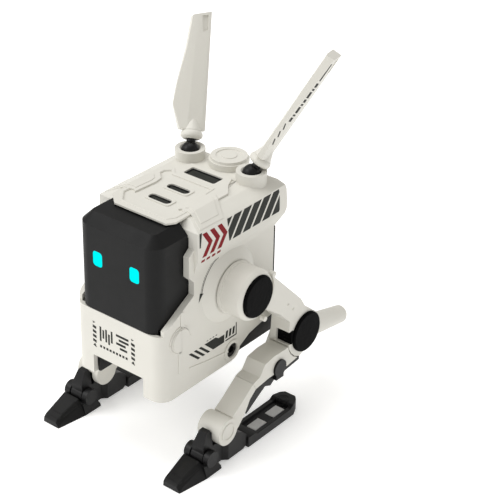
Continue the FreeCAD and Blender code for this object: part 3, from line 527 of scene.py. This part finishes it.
# ---------------------------------------------------------------- printed marks


def band_stripes():
    """Diagonal stripes of the shoulder band, cut off along its front and rear ends."""
    low, high = 75.8, 84.3
    pitch, gap, shift = 5.07, 1.1, 5.8
    front_end = [(29.7, 85.0), (30.7, 78.4), (31.2, 75.0)]
    rear_end = [(58.9, 75.0), (57.2, 82.0), (57.1, 85.0)]
    stripes = []
    for index in range(-3, 6):
        start = 32.75 + pitch * index
        outline = lean(start, low, start + shift, high, pitch - gap)
        for end in (front_end, rear_end):
            for here, there in zip(end, end[1:]):
                outline = clip(outline, here, there)
        if len(outline) > 2:
            stripes.append(outline)
    return stripes


def boss_arrow():
    """Two thin arcs in front of the hip boss, and the arrowhead at their lower end."""
    hip = side_spot(joint("hip_left")["pos_m"])
    head = [(19.9, 60.6), (18.3, 61.2), (17.7, 57.9)]
    return [arc(hip, 13.6, 13.9, 114.0, 171.0), arc(hip, 14.25, 14.4, 118.0, 171.0), head]


def side_label():
    """Slanted bars, a stepped plate, a corner bracket round three bars, and a row of dashes."""
    low, high = 36.5, 40.6
    slants = [lean(12.8 + 2.5 * step, high, 17.4 + 2.5 * step, low, 1.3) for step in range(3)]
    plate = [(20.7, high), (26.4, high), (28.0, 39.6), (31.0, 39.6), (31.0, low), (25.2, low)]
    bracket = [(31.6, low), (37.5, low), (37.5, 41.4), (37.0, 41.4), (37.0, low + 0.5)]
    bracket.append((31.6, low + 0.5))
    bars = [lean(31.5 + 1.8 * step, 37.6, 31.9 + 1.8 * step, 40.4, 1.1) for step in range(3)]
    dashes = [rect(21.9 + 1.5 * step, 41.2, 22.7 + 1.5 * step, 41.5) for step in range(4)]
    return slants + [plate, bracket] + bars + dashes


def print_side(side, sign, shell):
    """Printed marks on one side of the body."""
    band = side_sheet(SHOULDER, sign)
    slabs("band_stripes_" + side, band, band_stripes(), -SINK, INK, "dark_print", "body")
    wall = side_sheet(WALL, sign)
    corner = [(16.2, 84.4), (17.4, 84.4), (16.9, 79.2), (16.3, 79.2)]
    drape("band_corner_mark_" + side, shell, wall, [corner], INK, "dark_print", "body")
    arrows = [chevron(17.6 + 3.7 * step, 75.2, 83.8, 3.0, 2.1) for step in range(3)]
    drape("red_chevrons_" + side, shell, wall, arrows, INK, "red_print", "body")
    dashes = [rect(17.6 + 2.6 * step, 73.2, 19.3 + 2.6 * step, 74.2) for step in range(4)]
    drape("red_dashes_" + side, shell, wall, dashes, INK, "red_print", "body")
    drape("boss_arcs_" + side, shell, wall, boss_arrow(), INK, "dark_print", "body")
    drape("side_label_" + side, shell, wall, side_label(), INK, "dark_print", "body")


EAR_HEADING = {"left": -67.3, "right": -129.7}  # degrees about the ear's own axis, from +X


def ear_sheet(side, sign):
    """The outer face of an ear's blade: u towards its thin edge, v up the ear."""
    spin = joint("ear_spin_" + side)
    up = Vector(spin["axis"]).normalized()
    root = Vector(spin["pos_m"]) / MM
    level = Vector((1, 0, 0)) - up * up.x
    across = Matrix.Rotation(math.radians(EAR_HEADING[side]), 3, up) @ level.normalized()
    return Sheet((root.x, root.y + FRONT, root.z), across, up, across.cross(up) * -sign)


BLOCK_LENGTHS = (1.6, 0.7, 2.4, 0.7, 1.2, 2.4, 0.7, 1.6)


def ear_marks():
    """Three slanted stripes, a row of blocks and a long wedge, from the root of an ear up."""
    marks = [lean(4.3, 12.6 + 3.0 * step, 5.6, 14.9 + 3.0 * step, 0.9) for step in range(3)]
    bottom, width, gap = 21.8, 1.7, 0.55
    for length in BLOCK_LENGTHS:
        left = 5.4 - 0.09 * bottom
        marks.append(rect(left, bottom, left + width, bottom + length))
        bottom += length + gap
    marks.append([(2.5, bottom + 0.4), (3.5, bottom + 0.4), (3.1, 44.5), (2.5, 44.5)])
    return marks


def print_ear(side, sign):
    """A line of marks along the thin edge of one ear."""
    surface = surface_of("ear_blade_" + side)
    sheet = ear_sheet(side, sign)
    body = "ear_unit_" + side
    drape("ear_marks_" + side, surface, sheet, ear_marks(), INK, "dark_print", body, 0.8)


def tick_column(left):
    """Four slanted ticks between two wedges, one above the other."""
    right = left + 1.6
    marks = [[(left, 47.4), (left + 1.3, 47.2), (left + 0.3, 46.7)]]
    for step in range(4):
        top = 46.0 - 1.78 * step
        marks.append([(left, top), (right, top - 0.3), (right, top - 1.3), (left, top - 1.0)])
    marks.append([(left, 38.1), (left + 0.9, 39.1), (right, 37.6)])
    return marks


BAR_HEIGHTS = ((40.9, 46.5), (42.3, 45.6), (41.4, 46.2), (40.9, 44.9), (42.0, 46.5))
ROW_ENDS = ((-0.6, 4.9), (0.6, 4.9), (-0.6, 3.6), (1.0, 4.2))


def print_front():
    """Tick columns, upright bars, level bars and a row of squares on the panel below the visor."""
    front = Sheet((0, 0, 0), (1, 0, 0), (0, 0, 1), (0, -1, 0))
    marks = tick_column(-11.0) + tick_column(6.0)
    for step, (bottom, top) in enumerate(BAR_HEIGHTS):
        left = -7.9 + 1.25 * step
        marks.append(rect(left, bottom, left + 0.75, top))
    for step, (left, right) in enumerate(ROW_ENDS):
        top = 46.5 - 1.55 * step
        marks.append(rect(left, top - 0.85, right, top))
    marks += [rect(-7.9 + 1.42 * step, 38.4, -7.0 + 1.42 * step, 39.3) for step in range(9)]
    slabs("front_marks", front, marks, -SINK, INK, "dark_print", "body")


# ---------------------------------------------------------------- small raised details


def deck_pad(side, sign):
    """Raised eight-cornered pad on the deck's edge, bent over the slope of the shoulder."""
    outer = [(9.2, 19.7), (8.6, 29.4), (9.1, 32.4), (11.9, 35.1)]
    outer += [(20.6, 28.5), (20.4, 17.2), (15.1, 19.7), (10.5, 20.8)]
    centre = Vector((14.6, 26.0))
    inner = [tuple(centre + (Vector(corner) - centre) * 0.74) for corner in outer]
    shape = bmesh.new()
    flat = Sheet((0, 0, 0), (sign, 0, 0), (0, 1, 0), (0, 0, 1))
    add_slab(shape, flat, outer, -0.5, 0.28)
    add_slab(shape, flat, inner, -0.4, 0.5)
    cover_edge, slope_edge = 14.3, 15.8
    for fold in (cover_edge, slope_edge):
        spot = place(sign * fold, 0, 0)
        everything = shape.verts[:] + shape.edges[:] + shape.faces[:]
        bmesh.ops.bisect_plane(shape, geom=everything, plane_co=spot, plane_no=(1, 0, 0))
    deck = box_mm("top_cover")[1][2]
    steepness = 2.3 / 5.2
    for vertex in shape.verts:
        across = abs(vertex.co.x) / MM
        slope = max(across - slope_edge, 0.0) * steepness
        drop = min(max(across - cover_edge, 0.0) / (slope_edge - cover_edge), 1.0) * 0.7
        vertex.co.z += (deck - drop - slope) * MM
    piece = finish_piece("deck_pad_" + side, shape, "white_plastic", "body")
    soften(piece, 0.18, 18.0, 2)


def side_details(side, sign, shell):
    """Ribs beside the visor, two halves on the side disc with a rim round it, and a low ledge."""
    wall = side_sheet(WALL, sign)
    ribs = [rect(8.7, 52.4, 10.2, 58.4), rect(7.6, 35.6, 9.2, 44.4)]
    slabs("side_ribs_" + side, wall, ribs, -0.1, 0.3, "white_plastic", "body", 0.15)
    low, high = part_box("side_discs")
    middle = side_spot([(a + b) * 0.5 for a, b in zip(low, high)])
    face = side_sheet(high[0] / MM, sign)
    half_slot = 0.15
    bottom, top = middle[1] - 4.4, middle[1] + 4.6
    front_half = clip(disc(middle, 4.0), (middle[0] - half_slot, top), (middle[0] - half_slot, bottom))
    rear_half = clip(disc(middle, 4.0), (middle[0] + half_slot, bottom), (middle[0] + half_slot, top))
    halves = [front_half, rear_half]
    slabs("disc_halves_" + side, face, halves, -SINK, 0.22, "white_plastic", "body", 0.1)
    rim = half_rings(middle, 4.45, 4.9, 2.0)
    drape("disc_rim_" + side, shell, wall, rim, 0.3, "white_plastic", "body")
    ledge = [(13.0, 35.5), (22.0, 33.7), (33.0, 32.2), (33.0, 31.5), (22.0, 33.0), (13.0, 34.8)]
    drape("side_ledge_" + side, shell, wall, [ledge], 0.22, "white_plastic", "body")


def socket_insert(name, node, depth, rows, gap):
    """Dark moulded inserts that fill most of the mouths of a node's rows of sockets."""
    deck = Sheet((0, 0, 0), (1, 0, 0), (0, 1, 0), (0, 0, 1))
    low, high = box_mm(node)
    right = high[0] - gap
    front_row, rear_row = low[1] + FRONT, high[1] + FRONT - depth
    outlines = []
    for front in (front_row, rear_row)[:rows]:
        outlines.append(rect(-right, front + gap, right, front + depth - gap))
    slabs(name, deck, outlines, high[2] - 1.2, high[2] - 0.1, "dark_print", "body", 0.3)


# The sunken field of the deck, from its front -X corner, anticlockwise.
FIELD = [
    (-8.6, 13.4),
    (10.2, 13.4),
    (11.4, 15.4),
    (11.4, 19.6),
    (9.2, 21.0),
    (8.0, 37.0),
    (-8.4, 37.0),
    (-10.4, 39.0),
    (-12.0, 37.4),
    (-12.0, 17.6),
]


def field_lip():
    """A soft raised lip round the sunken field of the deck."""
    deck = Sheet((0, 0, box_mm("top_cover")[1][2]), (1, 0, 0), (0, 1, 0), (0, 0, 1))
    lip = [(grow(FIELD, 0.15), grow(FIELD, 1.15))]
    bands("field_lip", deck, lip, -0.3, 0.2, "white_plastic", "body", 0.2)


def rear_details():
    """A raised border round a row of short ribs on the rear panel, above the folding plug."""
    rear_face = box_mm("rear_panel")[1][1] + FRONT
    rear = Sheet((0, rear_face, 0), (1, 0, 0), (0, 0, 1), (0, 1, 0))
    ribs = [rect(-9.4 + 1.7 * step, 68.5, -8.6 + 1.7 * step, 76.5) for step in range(12)]
    slabs("rear_ribs", rear, ribs, -0.1, 0.3, "black_plastic", "body", 0.12)
    window = rect(-11.2, 67.0, 11.2, 78.0)
    border = [(window, grow(window, 0.5))]
    bands("rear_border", rear, border, -0.1, 0.25, "black_plastic", "body", 0.1)


def leg_details(side, sign):
    """Rivets on one thigh, and pins and an inner collar on its hip drum."""
    body = "thigh_unit_" + side
    arm = side_sheet(box_mm("thigh_left")[1][0], sign)
    rivets = [disc((50.0, 46.9), 0.45, 16), disc((53.0, 43.9), 0.45, 16)]
    slabs("thigh_rivets_" + side, arm, rivets, -0.1, 0.25, "white_plastic", body, 0.1)
    drum_low, drum_high = box_mm("hip_drum_left")
    drum_end = side_sheet(drum_high[0] - 0.3, sign)
    pins = [disc((41.2, 62.9), 0.95, 20), disc((37.0, 47.8), 0.95, 20)]
    slabs("drum_pins_" + side, drum_end, pins, -1.2, 0.7, "white_plastic", body, 0.2)
    drum_root = side_sheet(drum_low[0] + 0.03, sign)
    collar = [ring(side_spot(joint("hip_left")["pos_m"]), 8.6, 9.1)]
    bands("drum_collar_" + side, drum_root, collar, 0.0, 1.5, "white_plastic", body, 0.12)


def foot_details(side):
    """Two raised panels on the toe and two broken rings on the heel of one foot."""
    low, high = box_mm("toe_plate_" + side)
    middle = (low[0] + high[0]) * 0.5
    toe_sheet = Sheet((middle, 0, 9.0), (1, 0, 0), (0, 1, 0), (0, 0, 1))
    panel = [(-2.6, -1.2), (2.6, -1.2), (2.9, 5.6), (-2.9, 5.6)]
    bar = [(-2.2, -3.3), (2.2, -3.3), (2.3, -2.2), (-2.3, -2.2)]
    toe = surface_of("toe_plate_" + side)
    drape("toe_panel_" + side, toe, toe_sheet, [panel, bar], 0.14, "black_plastic", "toe_unit_" + side)
    heel_sheet = Sheet((middle, 0, 5.0), (1, 0, 0), (0, 1, 0), (0, 0, 1))
    heel = surface_of("heel_plate_" + side)
    centre = (0.0, 55.0)
    rings = half_rings(centre, 1.0, 1.4, 4.0, 16) + half_rings(centre, 2.0, 2.4, 4.0, 16)
    drape("heel_rings_" + side, heel, heel_sheet, rings, 0.12, "black_plastic", "foot_unit_" + side)


# ---------------------------------------------------------------- the scene

make_camera()
make_floor()
make_lights()
MATERIALS = make_materials()
SHELL = surface_of("main_shell")
print_front()
socket_insert("usb_a_insert", "usb_a_shell", 5.14, 1, 0.55)
socket_insert("usb_c_insert", "usb_c_shells", 3.2, 2, 0.45)
field_lip()
rear_details()
for SIDE, SIGN in (("left", 1), ("right", -1)):
    print_side(SIDE, SIGN, SHELL)
    deck_pad(SIDE, SIGN)
    side_details(SIDE, SIGN, SHELL)
    leg_details(SIDE, SIGN)
    foot_details(SIDE)
    print_ear(SIDE, SIGN)
finish_cad_nodes()
